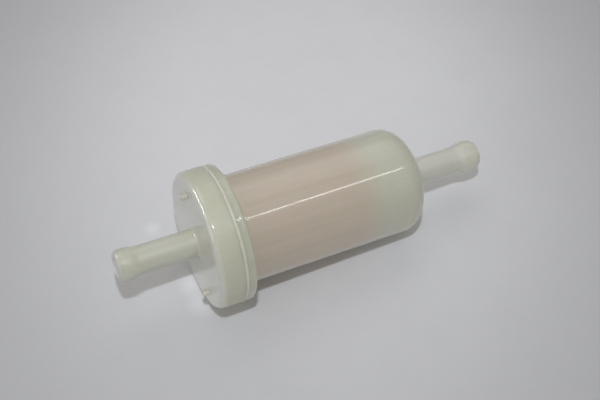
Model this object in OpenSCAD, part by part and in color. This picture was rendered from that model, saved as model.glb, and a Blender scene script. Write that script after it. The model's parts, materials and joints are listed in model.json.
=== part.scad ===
// In-line fuel filter: a moulded nylon bowl and a spin-welded outlet cap around a pleated paper element.
// The X axis is the flow axis, from the outlet spigot (-X) to the inlet spigot (+X), and Z is up.
// The origin is on the axis, half way between the two hose tips. Sizes are in millimetres.

/* [Overall] */
// Length from one hose tip to the other
overall_length = 114.5; // [112:0.5:125]
// Facets on the round surfaces of the preview
round_facets = 96; // [48:8:160]

/* [Bowl] */
// Outer diameter of the bowl's tube
bowl_d = 31.5; // [30.5:0.1:32.5]
// Wall of the bowl and of its closed end
bowl_wall = 1.75; // [1.3:0.05:1.8]
// Outer radius of the rounded corner at the bowl's closed end
dome_corner_r = 6.5; // [4:0.5:7.5]
// Reach of the inlet spigot from the closed end to its tip
inlet_reach = 24; // [20:0.5:25]

/* [Joint flange] */
// Outer diameter of the cap and of the bowl's flange
flange_d = 40; // [39:0.5:44]
// Thickness of the bowl's flange
flange_t = 3; // [2.5:0.1:4]
// Rounding of the flange's back edge
flange_edge_r = 1; // [0.4:0.1:1.2]
// Depth of the chamfers that the weld bead fills
weld_chamfer = 0.5; // [0.3:0.05:0.7]
// Height of the weld bead over the rim
weld_proud = 0.3; // [0.1:0.05:0.5]
// Width of the tongue that melts into the cap's groove
tongue_w = 1.2; // [0.8:0.1:1.6]
// Height of the tongue
tongue_h = 1.5; // [1:0.1:2]
// Side and end clearance of the tongue in its groove
tongue_gap = 0.1; // [0.05:0.05:0.2]

/* [Cap] */
// Width of the cap's rim, from its face to the weld
cap_depth = 7.7; // [7:0.1:9]
// Thickness of the cap's face
cap_face_t = 2.4; // [1.8:0.1:2.6]
// Rounding of the cap's front edge
cap_edge_r = 2; // [1:0.25:2.25]
// Reach of the outlet spigot from the cap's face to its tip
outlet_reach = 23.3; // [20:0.1:25]
// Reach of the sealing boss inside the cap, from the inner face
boss_reach = 6.55; // [6.2:0.05:7]
// Diameter of the sealing boss
boss_d = 11.4; // [11:0.1:11.6]

/* [Drive lugs] */
// Height of a lug over the cap's face
lug_h = 1.8; // [1:0.1:3]
// Radial thickness of a lug
lug_t = 1.4; // [1:0.1:3]
// Width of a lug across its radius
lug_w = 2.2; // [1.5:0.1:5]
// Radius of the circle through the middle of the lugs
lug_circle_r = 14.8; // [12:0.1:16]

/* [Hose spigots] */
// Outer diameter of both spigots, for an 8 mm hose
spigot_d = 8; // [7.6:0.1:8.4]
// Bore of both spigots
spigot_bore_d = 5.5; // [5.2:0.1:5.8]
// Bore of the throat where each spigot meets the body
throat_d = 5; // [4:0.1:5.1]
// Radius of the fillet at each spigot's root
spigot_root_r = 0.8; // [0.4:0.1:1.2]
// Diameter of the outlet's hose bead
outlet_bead_d = 9.2; // [8.8:0.1:9.6]
// Diameter of the inlet's hose bead
inlet_bead_d = 9.4; // [8.8:0.1:9.8]
// Length of the rounding at the outlet's tip
outlet_nose = 1.7; // [1:0.1:2]
// Length of the rounding at the inlet's tip
inlet_nose = 3; // [1:0.1:3.2]
// Length of each bead's cylindrical land
bead_land = 2.2; // [1.5:0.1:3]
// Length of the slope from each bead down to the spigot
bead_slope = 2.6; // [2:0.1:4]

/* [Filter element] */
// Outer diameter of both end plates
plate_d = 26.6; // [25.6:0.1:27]
// Thickness of an end plate
plate_t = 1.4; // [1:0.1:1.6]
// Thickness of the lip around an end plate
plate_lip_t = 0.4; // [0.3:0.1:0.6]
// Outer diameter of the pleated paper
paper_d = 25.4; // [25:0.1:25.6]
// Inner diameter of the pleated paper
paper_core_d = 15.2; // [15.2:0.1:16]
// Thickness of the filter paper
paper_t = 0.4; // [0.3:0.05:0.45]
// Number of pleats
pleat_count = 32; // [24:1:34]
// Length of the paper between the two resin layers
paper_length = 46.5; // [40:0.5:47]
// Thickness of the resin that bonds the paper into each end plate
resin_t = 1.2; // [0.8:0.1:1.5]
// Outer diameter of the core tube and of the collar
core_d = 14.6; // [14.2:0.1:14.8]
// Wall of the core tube
core_wall = 0.8; // [0.6:0.05:1]
// Rows of windows along the core tube
window_rows = 6; // [4:1:7]
// Windows around the core tube
window_columns = 8; // [4:1:8]
// Width of a window
window_w = 2.6; // [1.5:0.1:3.2]
// Length of a window along the tube
window_l = 4.2; // [2:0.1:4.5]
// Section diameter of the collar's seal ring
seal_section_d = 1.8; // [1.8:0.1:2]

/* [Hidden] */
$fn = round_facets;
step = 0.01;                       // overshoot of a cutting tool past the face it opens
lap = 0.5;                         // reach of one joined shape into the next

// Stations along the axis
outlet_tip_x = -overall_length / 2;
inlet_tip_x = overall_length / 2;
cap_face_x = outlet_tip_x + outlet_reach;
cap_inner_x = cap_face_x + cap_face_t;
weld_x = cap_face_x + cap_depth;
flange_back_x = weld_x + flange_t;
dome_end_x = inlet_tip_x - inlet_reach;
boss_end_x = cap_inner_x + boss_reach;
throat_lead = 0.25;                // each throat starts this far outside the lugs or the root fillet
outlet_throat_x = cap_face_x - lug_h - throat_lead;
inlet_throat_x = dome_end_x + spigot_root_r + throat_lead;

// Radii
flange_r = flange_d / 2;
bowl_r = bowl_d / 2;
chamber_r = bowl_r - bowl_wall;
spigot_r = spigot_d / 2;
bore_r = spigot_bore_d / 2;
throat_r = throat_d / 2;
tongue_mid_r = (chamber_r + flange_r) / 2;
nose_points = 8;
tip_face_w = 0.3;                  // flat ring around the bore at each hose tip

// Drive lugs: angles about the flow axis from +Y towards +Z
lug_angles = [63, 225];

// Filter element
plate_gap = 0.3;                   // play between the open end plate and the cap
open_plate_x = cap_inner_x + plate_gap;
open_resin_x = open_plate_x + plate_t;
paper_x = open_resin_x + resin_t;
paper_end_x = paper_x + paper_length;
closed_plate_x = paper_end_x + resin_t;
plate_r = plate_d / 2;
lip_r = plate_r - plate_lip_t;
core_r = core_d / 2;
seal_section_r = seal_section_d / 2;
collar_bore_r = 6;
collar_reach = 5.25;               // from the open plate's inner side to the core tube
seal_x = open_resin_x + 2.45;
seal_groove_play = 0.2;            // axial play of the ring on each side in its groove
seal_mid_r = collar_bore_r - seal_section_r;
plug_reach = 2.5;                  // centring plug of the closed plate inside the core
plug_gap = 0.1;
nib_w = 2;                         // nibs that centre the closed plate in the chamber
nib_gap = 0.1;
nib_count = 4;

// Pleats
pleat_pitch = 360 / pleat_count;
fold_out_half_w = 0.55;            // half width of a fold at its outer radius
fold_in_half_w = 0.5;              // half width of a fold at its inner radius
fold_crown = 0.12;                 // rise of a fold's crown over its shoulders
clip_t = 0.25;
clip_depth = 1.6;
clip_gap = 0.02;
clip_pleat = 8;                    // the pleat that holds the paper's seam, at the bottom

nylon = [0.83, 0.84, 0.73, 0.6];
bead_nylon = [0.78, 0.79, 0.66];
plate_white = [0.86, 0.84, 0.76];
resin_tan = [0.74, 0.66, 0.5];
paper_buff = [0.79, 0.69, 0.54];
clip_steel = [0.62, 0.63, 0.65];
seal_black = [0.1, 0.1, 0.1];

// Revolves a profile about the flow axis: profile x is the radius and profile y is the station
module revolve() {
    rotate([0, 90, 0])
        rotate_extrude()
            children();
}

// Rectangle between two radii and two stations
module band(r0, r1, x0, x1) {
    translate([r0, x0])
        square([r1 - r0, x1 - x0]);
}

// The corner that a rounding of radius r takes away at [0, 0], from a solid on its -x and +y sides
module corner_waste(r) {
    difference() {
        translate([-r, -step])
            square([r + step, r + step]);
        translate([-r, r])
            circle(r);
    }
}

// Fillet that fills the corner at [0, 0] between a wall along +y and a floor along +x
module root_fillet(r) {
    difference() {
        translate([-lap, -lap])
            square(r + lap);
        translate([r, r])
            circle(r);
    }
}

// Half profile of a solid hose spigot: its tip is at station 0 and it grows towards +y
module spigot_profile(bead_r, nose, reach) {
    nose_w = bead_r - bore_r - tip_face_w;
    land_end = nose + bead_land;
    polygon(concat(
        [[0, 0]],
        [for (i = [0:nose_points])
            let (a = 90 * i / nose_points)
            [bead_r - nose_w + nose_w * sin(a), nose - nose * cos(a)]],
        [[bead_r, land_end], [spigot_r, land_end + bead_slope], [spigot_r, reach], [0, reach]]
    ));
}

// The cap without its spigot: face, rim, inner hollow and weld groove
module cap_shell_profile() {
    difference() {
        band(0, flange_r, cap_face_x, weld_x);
        band(-step, chamber_r, cap_inner_x, weld_x + step);
        translate([flange_r, cap_face_x])
            corner_waste(cap_edge_r);
        weld_notch();
        band(tongue_mid_r - tongue_w / 2 - tongue_gap, tongue_mid_r + tongue_w / 2 + tongue_gap,
             weld_x - tongue_h - tongue_gap, weld_x + step);
    }
}

// Boss inside the cap that carries the seal ring in a groove
module cap_boss_profile() {
    difference() {
        band(0, boss_d / 2, cap_inner_x - lap, boss_end_x);
        band(seal_mid_r - seal_section_r, boss_d, seal_x - seal_section_r - seal_groove_play,
             seal_x + seal_section_r + seal_groove_play);
    }
}

module cap_profile() {
    difference() {
        union() {
            cap_shell_profile();
            cap_boss_profile();
            translate([0, outlet_tip_x])
                spigot_profile(outlet_bead_d / 2, outlet_nose, outlet_reach + lap);
            translate([spigot_r, cap_face_x])
                mirror([0, 1])
                    root_fillet(spigot_root_r);
        }
        band(-step, bore_r, outlet_tip_x - step, outlet_throat_x);
        band(-step, throat_r, outlet_throat_x - step, boss_end_x + step);
    }
}

module outlet_cap() {
    color(nylon) {
        revolve()
            cap_profile();
        for (a = lug_angles)
            rotate([a, 0, 0])
                translate([cap_face_x - lug_h, lug_circle_r - lug_t / 2, -lug_w / 2])
                    cube([lug_h + lap, lug_t, lug_w]);
    }
}

// The bowl's outer form without its spigot: tube, closed end, and flange with its weld tongue
module bowl_outline() {
    difference() {
        union() {
            band(0, bowl_r, weld_x, dome_end_x);
            band(0, flange_r, weld_x, flange_back_x);
            band(tongue_mid_r - tongue_w / 2, tongue_mid_r + tongue_w / 2, weld_x - tongue_h, weld_x + lap);
        }
        translate([bowl_r, dome_end_x])
            mirror([0, 1])
                corner_waste(dome_corner_r);
        translate([flange_r, flange_back_x])
            mirror([0, 1])
                corner_waste(flange_edge_r);
        weld_notch();
    }
    translate([spigot_r, dome_end_x])
        root_fillet(spigot_root_r);
}

// The hollow inside the bowl, open at the flange and rounded at the closed end
module chamber_profile() {
    difference() {
        band(-step, chamber_r, weld_x - tongue_h - step, dome_end_x - bowl_wall);
        translate([chamber_r, dome_end_x - bowl_wall])
            mirror([0, 1])
                corner_waste(dome_corner_r - bowl_wall);
    }
}

module bowl_profile() {
    difference() {
        bowl_outline();
        chamber_profile();
        band(-step, throat_r, weld_x, dome_end_x + step);
    }
}

module inlet_profile() {
    difference() {
        translate([0, inlet_tip_x])
            mirror([0, 1])
                spigot_profile(inlet_bead_d / 2, inlet_nose, inlet_reach + lap);
        band(-step, throat_r, dome_end_x - 2 * lap, inlet_throat_x + step);
        band(-step, bore_r, inlet_throat_x, inlet_tip_x + step);
    }
}

module bowl() {
    color(nylon) {
        revolve()
            bowl_profile();
        revolve()
            inlet_profile();
    }
}

// The vee that the two chamfered edges make around the weld
module weld_notch() {
    polygon([[flange_r - weld_chamfer, weld_x],
             [flange_r + step, weld_x - weld_chamfer - step],
             [flange_r + step, weld_x + weld_chamfer + step]]);
}

module weld_bead() {
    crown_half_w = weld_chamfer / 2;
    color(bead_nylon)
        revolve()
            polygon([[flange_r - weld_chamfer, weld_x],
                     [flange_r, weld_x - weld_chamfer],
                     [flange_r + weld_proud, weld_x - crown_half_w],
                     [flange_r + weld_proud, weld_x + crown_half_w],
                     [flange_r, weld_x + weld_chamfer]]);
}

module open_end_plate() {
    color(plate_white)
        revolve() {
            band(collar_bore_r, plate_r, open_plate_x, open_resin_x);
            band(collar_bore_r, core_r, open_resin_x - lap, open_resin_x + collar_reach);
            band(lip_r, plate_r, open_resin_x - lap, paper_x);
        }
}

module collar_seal() {
    color(seal_black)
        revolve()
            translate([seal_mid_r, seal_x])
                circle(seal_section_r);
}

module resin_ring(x) {
    color(resin_tan)
        revolve()
            band(core_r, lip_r, x, x + resin_t);
}

module open_end_resin() {
    resin_ring(open_resin_x);
}

module closed_end_resin() {
    resin_ring(paper_end_x);
}

function on_circle(r, a) = [r * cos(a), r * sin(a)];

// One fold of the paper: two shoulders and a crown, the crown standing away from the flanks
function fold(r, a, half_w, crown) =
    let (half_a = asin(half_w / r))
    [on_circle(r, a - half_a), on_circle(r + crown, a), on_circle(r, a + half_a)];

// A closed line that runs round all the pleats
function pleat_line(r_out, w_out, r_in, w_in) =
    [for (i = [0:pleat_count - 1])
        each concat(fold(r_out, i * pleat_pitch, w_out, fold_crown),
                    fold(r_in, (i + 0.5) * pleat_pitch, w_in, -fold_crown))];

module pleated_paper() {
    r_out = paper_d / 2 - fold_crown;
    r_in = paper_core_d / 2 + fold_crown;
    color(paper_buff)
        translate([paper_x, 0, 0])
            rotate([0, 90, 0])
                linear_extrude(paper_length)
                    difference() {
                        polygon(pleat_line(r_out, fold_out_half_w, r_in + paper_t, fold_in_half_w - paper_t));
                        polygon(pleat_line(r_out - paper_t, fold_out_half_w - paper_t, r_in, fold_in_half_w));
                    }
}

// Channel pinched over the pleat where the paper's two ends meet
module seam_clip() {
    r_top = paper_d / 2 + clip_gap;
    half_w = fold_out_half_w + clip_gap;
    color(clip_steel)
        translate([paper_x, 0, 0])
            rotate([0, 90, 0])
                rotate([0, 0, clip_pleat * pleat_pitch])
                    linear_extrude(paper_length)
                        difference() {
                            translate([r_top - clip_depth, -half_w - clip_t])
                                square([clip_depth + clip_t, 2 * (half_w + clip_t)]);
                            translate([r_top - clip_depth - step, -half_w])
                                square([clip_depth + step, 2 * half_w]);
                        }
}

module core_tube() {
    core_x = open_resin_x + collar_reach;
    core_length = closed_plate_x - core_x;
    row_pitch = core_length / window_rows;
    color(plate_white)
        difference() {
            revolve()
                band(core_r - core_wall, core_r, core_x, closed_plate_x);
            for (row = [0:window_rows - 1], column = [0:window_columns - 1])
                translate([core_x + (row + 0.5) * row_pitch, 0, 0])
                    rotate([column * 360 / window_columns, 0, 0])
                        translate([0, core_r - core_wall / 2, 0])
                            cube([window_l, 3 * core_wall, window_w], center = true);
        }
}

module closed_end_plate() {
    color(plate_white) {
        revolve() {
            band(0, plate_r, closed_plate_x, closed_plate_x + plate_t);
            band(lip_r, plate_r, paper_end_x, closed_plate_x + lap);
            band(0, core_r - core_wall - plug_gap, closed_plate_x - plug_reach, closed_plate_x + lap);
        }
        for (i = [0:nib_count - 1])
            rotate([i * 360 / nib_count, 0, 0])
                translate([closed_plate_x, plate_r - plate_lip_t, -nib_w / 2])
                    cube([plate_t, chamber_r - nib_gap - plate_r + plate_lip_t, nib_w]);
    }
}

outlet_cap();
bowl();
weld_bead();
open_end_plate();
collar_seal();
open_end_resin();
pleated_paper();
seam_clip();
core_tube();
closed_end_resin();
closed_end_plate();
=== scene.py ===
"""An in-line fuel filter: translucent nylon shells around a pleated paper element, lying on its side."""

import json
import math
import random

import bmesh
import bpy
from mathutils import Matrix, Vector


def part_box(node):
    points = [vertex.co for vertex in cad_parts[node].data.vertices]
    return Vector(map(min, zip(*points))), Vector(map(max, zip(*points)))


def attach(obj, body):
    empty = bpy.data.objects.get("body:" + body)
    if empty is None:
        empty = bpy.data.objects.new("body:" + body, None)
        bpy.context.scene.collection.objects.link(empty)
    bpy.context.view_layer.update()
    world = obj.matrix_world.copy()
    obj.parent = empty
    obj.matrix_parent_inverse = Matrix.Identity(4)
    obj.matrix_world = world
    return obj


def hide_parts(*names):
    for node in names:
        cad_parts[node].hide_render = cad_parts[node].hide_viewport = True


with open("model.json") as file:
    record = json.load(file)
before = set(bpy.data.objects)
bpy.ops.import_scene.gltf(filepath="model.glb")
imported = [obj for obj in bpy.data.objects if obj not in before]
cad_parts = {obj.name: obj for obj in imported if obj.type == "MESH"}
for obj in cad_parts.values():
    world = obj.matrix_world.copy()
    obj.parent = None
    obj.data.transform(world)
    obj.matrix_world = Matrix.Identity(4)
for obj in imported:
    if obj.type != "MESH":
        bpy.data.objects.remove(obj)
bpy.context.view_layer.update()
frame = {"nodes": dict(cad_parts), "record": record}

MM = 0.001
random.seed(7)

# ---------------------------------------------------------------- sizes, in millimetres
mounts = {m["name"]: m for m in frame["record"]["mounts"]}


def edges(node, axis=0):
    """Lowest and highest place of a CAD node along one axis, in millimetres."""
    low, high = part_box(node)
    return low[axis] / MM, high[axis] / MM


def mount_radius(name):
    return mounts[name]["dims"]["r_mm"]


TIP_OUT, BOSS_END = edges("outlet_cap")
TIP_IN = edges("bowl")[1]
WELD_X = sum(edges("weld_bead")) / 2
WELD_HALF = (edges("weld_bead")[1] - edges("weld_bead")[0]) / 2
RIM_R = edges("outlet_cap", 2)[1]
BEAD_R = edges("weld_bead", 2)[1]
BOWL_R = mount_radius("body_clip")
BORE_R = mount_radius("inlet_bore")
OUT_BEAD_R = mount_radius("outlet_hose_bead")
IN_BEAD_R = mount_radius("inlet_hose_bead")
FLANGE_BACK = mounts["flange_stop"]["pos_m"][0] / MM
OUT_THROAT_X = TIP_OUT + mounts["outlet_bore"]["dims"]["length_mm"]
IN_THROAT_X = TIP_IN - mounts["inlet_bore"]["dims"]["length_mm"]
PAPER_X0, PAPER_X1 = edges("pleated_paper")
PAPER_R = edges("pleated_paper", 2)[1]

WALL = 1.75
DOME_END = TIP_IN - 24
DOME_IN = DOME_END - WALL
THROAT_R = 2.5
DOME_R = 6.5
CHAMBER_R = BOWL_R - WALL
CAP_FACE = TIP_OUT + 23.3
CAP_INNER = CAP_FACE + 2.4
SPIGOT_R = 4.0
CAP_EDGE_R = 2.0
FLANGE_EDGE_R = 1.0
ROOT_R = 0.8
OUT_NOSE = 1.7
IN_NOSE = 3.0
LUG_HEIGHT = 1.8
LUG_THICK = 1.4
LUG_WIDTH = 2.2
LUG_CIRCLE_R = 14.8
LUG_TURNS = (63, 225)

# ---------------------------------------------------------------- camera and floor
# The filter lies on its weld bead and on the far end of its bowl, so the floor tilts in the part's frame.
REST_SPAN = (DOME_END - DOME_R) - WELD_X
TILT = math.atan2(BEAD_R - BOWL_R, REST_SPAN)
FLOOR_UP = Vector((-math.sin(TILT), 0, math.cos(TILT)))
FLOOR_POINT = Vector((WELD_X, 0, 0)) * MM - FLOOR_UP * (BEAD_R * MM)

LENS = 63.1
CAMERA_TURN = (-30.29, 52.36)
CAMERA_DISTANCE = 0.30645
CAMERA_TARGET = Vector((-0.27, 2.9, 0)) * MM


def look_at(obj, target, up):
    """Turns an object so that its -Z looks at the target and its Y stays near up."""
    back = (obj.location - target).normalized()
    right = up.cross(back).normalized()
    top = back.cross(right)
    obj.rotation_mode = "QUATERNION"
    obj.rotation_quaternion = Matrix((right, top, back)).transposed().to_quaternion()


def direction(azimuth, elevation):
    """The way towards a viewpoint, from an azimuth off -Y and an elevation, in degrees."""
    a, e = math.radians(azimuth), math.radians(elevation)
    return Vector((math.sin(a) * math.cos(e), -math.cos(a) * math.cos(e), math.sin(e)))


def make_camera():
    data = bpy.data.cameras.new("camera")
    data.sensor_width = 36
    data.lens = LENS
    data.clip_start = 0.01
    data.clip_end = 20
    cam = bpy.data.objects.new("camera", data)
    bpy.context.scene.collection.objects.link(cam)
    cam.location = CAMERA_TARGET + direction(*CAMERA_TURN) * CAMERA_DISTANCE
    look_at(cam, CAMERA_TARGET, FLOOR_UP)
    bpy.context.scene.camera = cam


make_camera()


# ---------------------------------------------------------------- mesh helpers
def arc(x, r, radius, start, end, steps=8):
    """Points of a profile along an arc, its angle measured from +X towards +R."""
    turns = [math.radians(start + (end - start) * i / steps) for i in range(steps + 1)]
    return [(x + radius * math.cos(t), r + radius * math.sin(t)) for t in turns]


def shade(bm, sharp=40):
    """Smooth shading, broken at edges sharper than an angle in degrees."""
    limit = math.radians(sharp)
    for f in bm.faces:
        f.smooth = True
    for e in bm.edges:
        if len(e.link_faces) == 2:
            e.smooth = e.calc_face_angle(0) < limit


def finish_mesh(name, bm, material, sharp=40):
    """Turns a bmesh into a piece that rides on the root body and takes its finish from a slot."""
    bmesh.ops.recalc_face_normals(bm, faces=bm.faces)
    shade(bm, sharp)
    mesh = bpy.data.meshes.new(name)
    bm.to_mesh(mesh)
    bm.free()
    mesh.materials.append(material)
    obj = bpy.data.objects.new(name, mesh)
    bpy.context.scene.collection.objects.link(obj)
    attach(obj, "root")
    return obj


def revolved(profile, segments=240, wobble=None):
    """A bmesh of a closed profile of (station, radius) points turned about the X axis."""
    bm = bmesh.new()
    rings = []
    count = len(profile)
    for i in range(segments):
        a = 2 * math.pi * i / segments
        ring = []
        for x, r in profile:
            if wobble:
                x, r = wobble(x, r, a)
            ring.append(bm.verts.new((x * MM, r * math.cos(a) * MM, r * math.sin(a) * MM)))
        rings.append(ring)
    for i in range(segments):
        one, two = rings[i], rings[(i + 1) % segments]
        for j in range(count):
            k = (j + 1) % count
            bm.faces.new((one[j], one[k], two[k], two[j]))
    return bm


def smooth_step(t):
    t = min(max(t, 0), 1)
    return t * t * (3 - 2 * t)


# ---------------------------------------------------------------- materials
def node_tree(name):
    mat = bpy.data.materials.new(name)
    mat.use_nodes = True
    return mat, mat.node_tree, mat.node_tree.nodes["Principled BSDF"]


def add(nt, kind, **settings):
    node = nt.nodes.new(kind)
    for key, value in settings.items():
        if key in node.inputs:
            node.inputs[key].default_value = value
        else:
            setattr(node, key, value)
    return node


def place(nt, scale):
    """Object coordinates in millimetres, stretched by scale along each axis."""
    coord = add(nt, "ShaderNodeTexCoord")
    mapping = add(nt, "ShaderNodeMapping")
    mapping.inputs["Scale"].default_value = [s / MM for s in scale]
    nt.links.new(coord.outputs["Object"], mapping.inputs["Vector"])
    return mapping.outputs["Vector"]


def noise(nt, scale, detail=3, rough=0.5):
    node = add(nt, "ShaderNodeTexNoise", Scale=1.0, Detail=detail, Roughness=rough)
    nt.links.new(place(nt, scale), node.inputs["Vector"])
    return node.outputs["Fac"]


def ramp(nt, value, low, high, to_low, to_high):
    node = add(nt, "ShaderNodeMapRange")
    node.inputs["From Min"].default_value = low
    node.inputs["From Max"].default_value = high
    node.inputs["To Min"].default_value = to_low
    node.inputs["To Max"].default_value = to_high
    nt.links.new(value, node.inputs["Value"])
    return node.outputs["Result"]


def mix(nt, factor, one, two):
    node = add(nt, "ShaderNodeMix", data_type="RGBA")
    for socket, value in ((node.inputs[6], one), (node.inputs[7], two)):
        if isinstance(value, tuple):
            socket.default_value = (*value, 1)
        else:
            nt.links.new(value, socket)
    nt.links.new(factor, node.inputs[0])
    return node.outputs[2]


def step_along(nt, start, end):
    """0 before start and 1 after end, in millimetres along X, in a soft step. The ends may be swapped."""
    coord = add(nt, "ShaderNodeTexCoord")
    split = add(nt, "ShaderNodeSeparateXYZ")
    nt.links.new(coord.outputs["Object"], split.inputs[0])
    step = ramp(nt, split.outputs["X"], start * MM, end * MM, 0, 1)
    step.node.interpolation_type = "SMOOTHSTEP"
    return step


def product(nt, one, two):
    node = add(nt, "ShaderNodeMath", operation="MULTIPLY")
    nt.links.new(one, node.inputs[0])
    nt.links.new(two, node.inputs[1])
    return node.outputs[0]


def bump(nt, shader, height, strength, distance):
    node = add(nt, "ShaderNodeBump", Strength=strength, Distance=distance * MM)
    nt.links.new(height, node.inputs["Height"])
    nt.links.new(node.outputs["Normal"], shader.inputs["Normal"])


def nylon(name, pale, deep, clear, coat, streak, bands=(), soft=1.5):
    """Milky nylon that lets light through. pale and deep are its colours, clear how much passes straight,
    coat the weight, roughness and IOR of its shine, streak the stretch of its faint flow marks, and soft
    how far light wanders inside it, in millimetres. Each of bands is a stretch along X in other colours:
    the ends of a soft step up, the ends of a soft step down, pale, deep."""
    mat, nt, p = node_tree(name)
    cloud = noise(nt, (0.12, 0.12, 0.12), 2)
    lines = noise(nt, streak, 2)
    both = add(nt, "ShaderNodeMath", operation="ADD")
    nt.links.new(cloud, both.inputs[0])
    nt.links.new(lines, both.inputs[1])
    colour = mix(nt, ramp(nt, both.outputs[0], 0.7, 1.3, 0, 1), pale, deep)
    for rise, fall, band_pale, band_deep in bands:
        inside = product(nt, step_along(nt, *rise), step_along(nt, *fall))
        marks = noise(nt, (0.01, 0.45, 0.45), 2)
        tint = mix(nt, ramp(nt, marks, 0.35, 0.65, 0, 1), band_pale, band_deep)
        colour = mix(nt, inside, colour, tint)
    nt.links.new(colour, p.inputs["Base Color"])
    nt.links.new(ramp(nt, lines, 0.3, 0.7, 0.46, 0.54), p.inputs["Roughness"])
    p.inputs["Transmission Weight"].default_value = clear
    p.inputs["IOR"].default_value = 1.53
    p.inputs["Subsurface Weight"].default_value = 1.0
    p.inputs["Subsurface Radius"].default_value = (1.0, 1.0, 0.8)
    p.inputs["Subsurface Scale"].default_value = soft * MM
    for socket, value in zip(("Coat Weight", "Coat Roughness", "Coat IOR"), coat):
        p.inputs[socket].default_value = value
    return mat


def opaque(name, one, two, roughness, scale, depth, metallic=0.0):
    mat, nt, p = node_tree(name)
    cloud = noise(nt, scale, 4)
    nt.links.new(mix(nt, ramp(nt, cloud, 0.35, 0.65, 0, 1), one, two), p.inputs["Base Color"])
    nt.links.new(ramp(nt, cloud, 0.3, 0.7, roughness - 0.08, roughness + 0.08), p.inputs["Roughness"])
    bump(nt, p, cloud, 0.4, depth)
    p.inputs["Metallic"].default_value = metallic
    return mat


# Painted see-through shade: the buff of the paper element showing through the bowl, painted into the bowl's
# colour, its lengthwise marks standing for the pleats behind.
painted_element_band = ((FLANGE_BACK - 0.2, FLANGE_BACK + 1.5), (PAPER_X1 + 3.5, PAPER_X1 - 9),
                (0.84, 0.738, 0.61), (0.79, 0.693, 0.56))
flange_band = ((WELD_X - 2, WELD_X - 1), (FLANGE_BACK + 1, FLANGE_BACK - 0.3),
               (0.82, 0.825, 0.66), (0.785, 0.79, 0.615))
# Painted light: the inlet spigot is painted paler than the bowl, to make up for the key lamp lighting it
# less.
painted_light_inlet_band = ((DOME_END - 1, DOME_END + 3), (TIP_IN + 2, TIP_IN + 1),
              (0.935, 0.93, 0.815), (0.885, 0.88, 0.755))
# Painted light: the cap's face is painted paler than the rest of the cap, for the light its polished face
# reflects.
painted_light_face_band = ((CAP_FACE - 0.7, CAP_FACE - 0.2), (CAP_FACE + 1.5, CAP_FACE + 0.4),
             (0.90, 0.90, 0.80), (0.87, 0.87, 0.77))
# The outlet spigot's lengthwise mould marks, on a darker tone that is painted shade: the key lamp lights this
# spigot more than the other.
outlet_marks_and_shade_band = ((TIP_OUT - 2, TIP_OUT - 1), (CAP_FACE + 0.5, CAP_FACE - 3),
               (0.81, 0.81, 0.70), (0.73, 0.73, 0.61))
bowl_nylon = nylon("bowl_nylon", (0.84, 0.835, 0.705), (0.80, 0.795, 0.655), clear=0.28,
                   coat=(0.9, 0.07, 1.5), streak=(0.1, 1.5, 1.5),
                   bands=(flange_band, painted_element_band, painted_light_inlet_band))
cap_nylon = nylon("cap_nylon", (0.83, 0.83, 0.68), (0.79, 0.79, 0.63), clear=0.22, coat=(1, 0.06, 1.9),
                  streak=(0.15, 1.5, 1.5), bands=(outlet_marks_and_shade_band, painted_light_face_band))
matt_nylon = nylon("matt_nylon", (0.81, 0.81, 0.66), (0.77, 0.77, 0.61), clear=0.22, coat=(0.4, 0.4, 1.7),
                   streak=(0.15, 1.5, 1.5), bands=(outlet_marks_and_shade_band, painted_light_face_band))
# Painted light in the bores: a paler copy of the nylon, with light wandering farther in it, so that the bores
# read as lit through their walls.
painted_light_bore_nylon = nylon("painted_light_bore_nylon", (0.955, 0.955, 0.87), (0.94, 0.94, 0.85), clear=0.0, coat=(0.5, 0.2, 1.5),
                   streak=(0.15, 1.5, 1.5), soft=5)
# The weld flash is a darker copy of the nylon: painted shade that tones down the light its crest catches.
bead_nylon = nylon("bead_nylon", (0.77, 0.775, 0.62), (0.71, 0.715, 0.56), clear=0.0, coat=(0.15, 0.3, 1.5),
                   streak=(1.5, 1.5, 1.5), soft=0.3)
paper_mat = opaque("filter_paper", (0.66, 0.50, 0.36), (0.58, 0.43, 0.30), 0.85, (2.5, 2.5, 2.5), 0.03)
plate_mat = opaque("plate_plastic", (0.76, 0.73, 0.64), (0.72, 0.69, 0.60), 0.45, (0.8, 0.8, 0.8), 0.01)
resin_mat = opaque("bonding_resin", (0.60, 0.48, 0.32), (0.52, 0.41, 0.27), 0.35, (0.9, 0.9, 0.9), 0.05)
rubber_mat = opaque("seal_rubber", (0.03, 0.03, 0.03), (0.045, 0.045, 0.045), 0.5, (2, 2, 2), 0.01)
steel_mat = opaque("clip_steel", (0.52, 0.53, 0.55), (0.46, 0.47, 0.49), 0.35, (0.4, 5, 5), 0.005,
                   metallic=1.0)


# ---------------------------------------------------------------- shells
def spigot_outline(bead_r, nose, root_x, tip_x):
    """Outer line of a spigot from its bore at the tip to the foot of its root fillet."""
    side = 1 if root_x > tip_x else -1
    face_r = BORE_R + 0.3
    out = [(tip_x + side * 0.15, BORE_R), (tip_x, BORE_R + 0.15)]
    for i in range(13):
        a = math.radians(90 * i / 12)
        out.append((tip_x + side * nose * (1 - math.cos(a)), face_r + (bead_r - face_r) * math.sin(a)))
    land = nose + 2.2
    for i in range(11):
        t = i / 10
        out.append((tip_x + side * (land + 2.6 * t), bead_r + (SPIGOT_R - bead_r) * smooth_step(t)))
    steps = 10
    first = tip_x + side * (land + 3)
    last = root_x - side * ROOT_R
    out += [(first + (last - first) * i / steps, SPIGOT_R) for i in range(steps)]
    for i in range(7):
        a = math.radians(90 * i / 6)
        out.append((root_x - side * ROOT_R * (1 - math.sin(a)), SPIGOT_R + ROOT_R * (1 - math.cos(a))))
    return out


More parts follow.
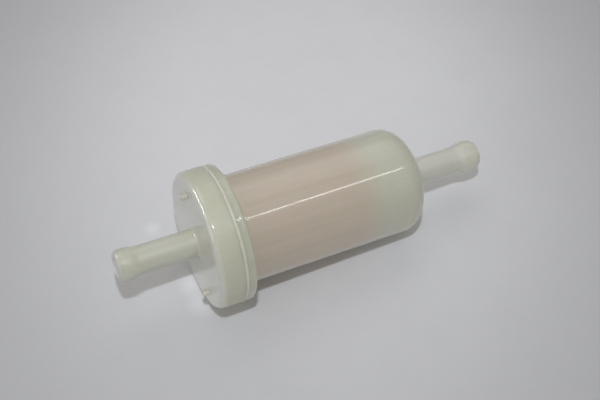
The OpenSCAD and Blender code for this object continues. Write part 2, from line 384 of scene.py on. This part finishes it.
def parting_line(x, r, a):
    """A faint ridge where the mould's halves met, on the two spigots only."""
    if CAP_FACE - 1 < x < DOME_END + 1 or r < BORE_R + 0.5:
        return x, r
    height, half_width, first_turn = 0.05, 0.035, 0.6
    ridge = 0
    for turn in (first_turn, first_turn + math.pi):
        ridge += math.exp(-((math.remainder(a - turn, 2 * math.pi) / half_width) ** 2))
    return x, r + height * ridge


def cap_mesh():
    notch = WELD_HALF
    gap = 0.015
    profile = spigot_outline(OUT_BEAD_R, OUT_NOSE, CAP_FACE, TIP_OUT)
    profile += [(CAP_FACE, r) for r in (7, 10, 13, 16)]
    profile += arc(CAP_FACE + CAP_EDGE_R, RIM_R - CAP_EDGE_R, CAP_EDGE_R, 180, 90, 10)
    profile += [(CAP_FACE + t, RIM_R) for t in (3.5, 5.0, 6.4)]
    profile += [(WELD_X - notch, RIM_R), (WELD_X - gap, RIM_R - notch)]
    profile += [(WELD_X - gap, CHAMBER_R + 3), (WELD_X - gap, CHAMBER_R)]
    profile += [(WELD_X - 2.5, CHAMBER_R)] + arc(CAP_INNER + 1, CHAMBER_R - 1, 1, 90, 180, 5)
    boss_r = 5.7
    groove = 4.2
    profile += [(CAP_INNER, 10), (CAP_INNER, boss_r)]
    groove_start, groove_end = WELD_X - 2.15, WELD_X + 0.05
    profile += [(groove_start, boss_r), (groove_start, groove), (groove_end, groove), (groove_end, boss_r)]
    profile += [(BOSS_END - 0.3, boss_r), (BOSS_END, boss_r - 0.3), (BOSS_END, THROAT_R + 0.2)]
    profile += [(BOSS_END - 0.2, THROAT_R), (OUT_THROAT_X, THROAT_R), (OUT_THROAT_X, BORE_R)]
    steps = 8
    profile += [(OUT_THROAT_X + (TIP_OUT + 0.3 - OUT_THROAT_X) * i / steps, BORE_R) for i in range(1, steps)]
    return revolved(profile, wobble=parting_line)


def bowl_mesh():
    notch = WELD_HALF
    gap = 0.015
    profile = [(WELD_X + gap, CHAMBER_R), (WELD_X + gap, CHAMBER_R + 3), (WELD_X + gap, RIM_R - notch)]
    profile += [(WELD_X + notch, RIM_R), (WELD_X + 1.2, RIM_R)]
    profile += arc(FLANGE_BACK - FLANGE_EDGE_R, RIM_R - FLANGE_EDGE_R, FLANGE_EDGE_R, 90, 0, 8)
    profile += [(FLANGE_BACK, (RIM_R + BOWL_R) / 2)]
    profile += arc(FLANGE_BACK + 0.35, BOWL_R + 0.35, 0.35, 180, 270, 5)
    straight = 16
    first, last = FLANGE_BACK + 1, DOME_END - DOME_R
    profile += [(first + (last - first) * i / straight, BOWL_R) for i in range(straight)]
    profile += arc(last, BOWL_R - DOME_R, DOME_R, 90, 0, 20)
    spigot = spigot_outline(IN_BEAD_R, IN_NOSE, DOME_END, TIP_IN)
    profile += [(DOME_END, 7)] + spigot[::-1]
    steps = 8
    profile += [(TIP_IN - 0.3 + (IN_THROAT_X - TIP_IN + 0.3) * i / steps, BORE_R) for i in range(1, steps)]
    profile += [(IN_THROAT_X, BORE_R), (IN_THROAT_X, THROAT_R)]
    profile += [(DOME_IN + 0.2, THROAT_R), (DOME_IN, THROAT_R + 0.2), (DOME_IN, 6)]
    inner_r = DOME_R - WALL
    profile += arc(DOME_IN - inner_r, CHAMBER_R - inner_r, inner_r, 0, 90, 16)
    first, last = DOME_IN - inner_r - 1, WELD_X + 2
    profile += [(first + (last - first) * i / straight, CHAMBER_R) for i in range(straight + 1)]
    return revolved(profile, wobble=parting_line)


bowl = finish_mesh("bowl_shell", bowl_mesh(), bowl_nylon)
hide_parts("bowl")
cap = finish_mesh("cap_shell", cap_mesh(), cap_nylon)


def add_lugs(cap):
    """Joins the drive lugs to the cap's face, each sunk a little way into it."""
    sunk = 0.6
    for turn in LUG_TURNS:
        bm = bmesh.new()
        bmesh.ops.create_cube(bm, size=1)
        for v in bm.verts:
            v.co = Vector((v.co.x * (LUG_HEIGHT + sunk), v.co.y * LUG_THICK, v.co.z * LUG_WIDTH)) * MM
        bmesh.ops.bevel(bm, geom=bm.edges[:], offset=0.25 * MM, segments=3, profile=0.5, affect="EDGES")
        spot = Vector((CAP_FACE - (LUG_HEIGHT - sunk) / 2, LUG_CIRCLE_R, 0)) * MM
        turned = Matrix.Rotation(math.radians(turn), 4, "X") @ Matrix.Translation(spot)
        bmesh.ops.transform(bm, matrix=turned, verts=bm.verts)
        mesh = bpy.data.meshes.new("lug")
        bm.to_mesh(mesh)
        bm.free()
        lug = bpy.data.objects.new("lug", mesh)
        bpy.context.scene.collection.objects.link(lug)
        union = cap.modifiers.new("lug", "BOOLEAN")
        union.operation = "UNION"
        union.solver = "EXACT"
        union.object = lug
        depsgraph = bpy.context.evaluated_depsgraph_get()
        joined = bpy.data.meshes.new_from_object(cap.evaluated_get(depsgraph))
        cap.modifiers.clear()
        old = cap.data
        cap.data = joined
        bpy.data.meshes.remove(old)
        bpy.data.objects.remove(lug)
    cap.data.name = "cap_shell"
    bm = bmesh.new()
    bm.from_mesh(cap.data)
    shade(bm)
    bm.to_mesh(cap.data)
    bm.free()


def finish_zone(obj, material, test):
    """Gives another finish to the faces whose middle, as a station and a radius, passes a test."""
    obj.data.materials.append(material)
    for face in obj.data.polygons:
        x, y, z = face.center / MM
        if test(x, math.hypot(y, z)):
            face.material_index = len(obj.data.materials) - 1


def is_matt(x, r):
    """The cap's rim and its spigot, unlike the polished face, its rounded edge and the spigot's nose."""
    on_rim = x > CAP_FACE + CAP_EDGE_R and r > RIM_R - 0.3
    on_spigot = TIP_OUT + OUT_NOSE < x < CAP_FACE - ROOT_R
    return on_rim or on_spigot


def is_bore(x, r):
    return r < BORE_R + 0.1 and not OUT_THROAT_X < x < IN_THROAT_X


add_lugs(cap)
finish_zone(cap, matt_nylon, is_matt)
finish_zone(cap, painted_light_bore_nylon, is_bore)
finish_zone(bowl, painted_light_bore_nylon, is_bore)
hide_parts("outlet_cap")


def bead_mesh():
    """The weld's flash: it fills the vee between the rims and stands up in a low uneven crest."""
    counts = (3, 7, 11, 19, 31, 47, 67, 89)
    waves = [(n, random.uniform(0, 2 * math.pi), random.uniform(0.4, 1)) for n in counts]
    total = sum(size for _, _, size in waves)

    def wave(a, shift):
        return 2 * sum(size * math.sin(n * a + p + shift * n) for n, p, size in waves) / total

    proud = BEAD_R - RIM_R
    half = WELD_HALF + 0.08
    mean_lift, lift_swing, least_lift = 0.28, 0.4, 0.05
    side_swing = 0.15

    def wobble(x, r, a):
        if r < RIM_R - 0.1:
            return x, r
        crest = (r - RIM_R) / proud
        lift = min(max(mean_lift + lift_swing * wave(a, 0), least_lift), 1)
        return x + side_swing * crest * wave(a, 1.3), RIM_R + proud * crest * lift

    profile = [(WELD_X + half, RIM_R - 0.2), (WELD_X, RIM_R - WELD_HALF * 0.9), (WELD_X - half, RIM_R - 0.2)]
    steps = 16
    for i in range(steps + 1):
        t = 2 * i / steps - 1
        profile.append((WELD_X + t * half, RIM_R - 0.03 + (proud + 0.03) * math.exp(-((t / 0.25) ** 2))))
    return revolved(profile, 720, wobble)


bead = finish_mesh("weld_bead_flash", bead_mesh(), bead_nylon, sharp=60)
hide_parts("weld_bead")

# ---------------------------------------------------------------- inner pieces
for name, material in (
    ("open_end_plate", plate_mat),
    ("collar_seal", rubber_mat),
    ("open_end_resin", resin_mat),
    ("pleated_paper", paper_mat),
    ("seam_clip", steel_mat),
    ("core_tube", plate_mat),
    ("closed_end_resin", resin_mat),
    ("closed_end_plate", plate_mat),
):
    node = frame["nodes"][name]
    node.data.materials.clear()
    node.data.materials.append(material)


# ---------------------------------------------------------------- floor and light
# Painted glows on the table where the cap's polished face throws light: place on it and radius in metres, and
# strength.
PAINTED_TABLE_GLOWS = ((-0.0095, 0.0005, 0.007, 0.9), (-0.0095, -0.007, 0.007, 0.7), (-0.0145, 0.0235, 0.0038, 0.5))


def make_floor():
    """A pale, faintly mottled table with painted light: a painted falloff darkens it slowly away from the
    filter, and painted glows lie near the cap.
    """
    mat, nt, p = node_tree("table")
    coord = add(nt, "ShaderNodeTexCoord")
    # Painted light falloff: the table's colour is brightest near the filter and darkens away from it.
    oval = add(nt, "ShaderNodeMapping", vector_type="TEXTURE")
    oval.inputs["Location"].default_value = (0.047, 0.051, 0)
    oval.inputs["Rotation"].default_value = (0, 0, math.radians(65))
    oval.inputs["Scale"].default_value = (1.25, 1, 1)
    nt.links.new(coord.outputs["Object"], oval.inputs["Vector"])
    far = add(nt, "ShaderNodeVectorMath", operation="LENGTH")
    nt.links.new(oval.outputs["Vector"], far.inputs[0])
    painted_falloff = ramp(nt, far.outputs["Value"], 0.03, 0.13, 0, 1)
    painted_falloff.node.interpolation_type = "SMOOTHSTEP"
    paint = mix(nt, painted_falloff, (0.86, 0.86, 0.872), (0.545, 0.545, 0.553))
    # Painted light: pale glows mixed into the table's colour.
    for x, y, size, most in PAINTED_TABLE_GLOWS:
        near = add(nt, "ShaderNodeVectorMath", operation="DISTANCE")
        near.inputs[1].default_value = (x, y, 0)
        nt.links.new(coord.outputs["Object"], near.inputs[0])
        glow = ramp(nt, near.outputs["Value"], size, 0, 0, most)
        glow.node.interpolation_type = "SMOOTHSTEP"
        paint = mix(nt, glow, paint, (0.97, 0.98, 1.0))
    grain = ramp(nt, noise(nt, (0.08, 0.08, 0.08), 8, 0.65), 0.45, 0.7, 0, 0.035)
    nt.links.new(mix(nt, grain, paint, (0.3, 0.3, 0.32)), p.inputs["Base Color"])
    p.inputs["Roughness"].default_value = 0.5
    bpy.ops.mesh.primitive_plane_add(size=4, location=FLOOR_POINT)
    floor = bpy.context.object
    floor.name = "table"
    floor.rotation_euler = (0, -TILT, 0)
    floor.data.materials.append(mat)


def area_light(name, place, size, power, along=(1, 0, 0), long=None):
    """A rectangular lamp at a place in metres, facing the filter, its long side running along a direction."""
    data = bpy.data.lights.new(name, "AREA")
    data.energy = power
    data.shape = "RECTANGLE"
    data.size = size
    data.size_y = long or size
    lamp = bpy.data.objects.new(name, data)
    bpy.context.scene.collection.objects.link(lamp)
    lamp.location = place
    look_at(lamp, Vector((0, 0, 0)), Vector(along))
    return lamp


make_floor()
key = area_light("key", Vector((-0.093, -0.132, 0.365)), 0.016, 0.48)
key.data.color = (0.96, 1.0, 1.08)
area_light("sky", Vector((0.1, 0.7, 0.9)), 0.9, 1.8)
area_light("fill", Vector((-0.8, -0.1, 0.25)), 0.3, 0.35)
streak = area_light("streak", Vector((0.3360, -0.3188, 0.94)), 0.04, 0.43, along=(1, 0.29, 0), long=0.31)
side = area_light("side", Vector((-0.53, 0.30, 0.30)), 0.03, 1.3, along=(0.33, 0.96, -0.34), long=0.6)
for lamp in (streak, side):
    lamp.visible_diffuse = False
    lamp.visible_transmission = False

world = bpy.data.worlds.new("studio")
bpy.context.scene.world = world
world.use_nodes = True
world.node_tree.nodes["Background"].inputs["Color"].default_value = (1.0, 0.98, 0.955, 1)
world.node_tree.nodes["Background"].inputs["Strength"].default_value = 0.33
bpy.context.scene.view_settings.view_transform = "Standard"
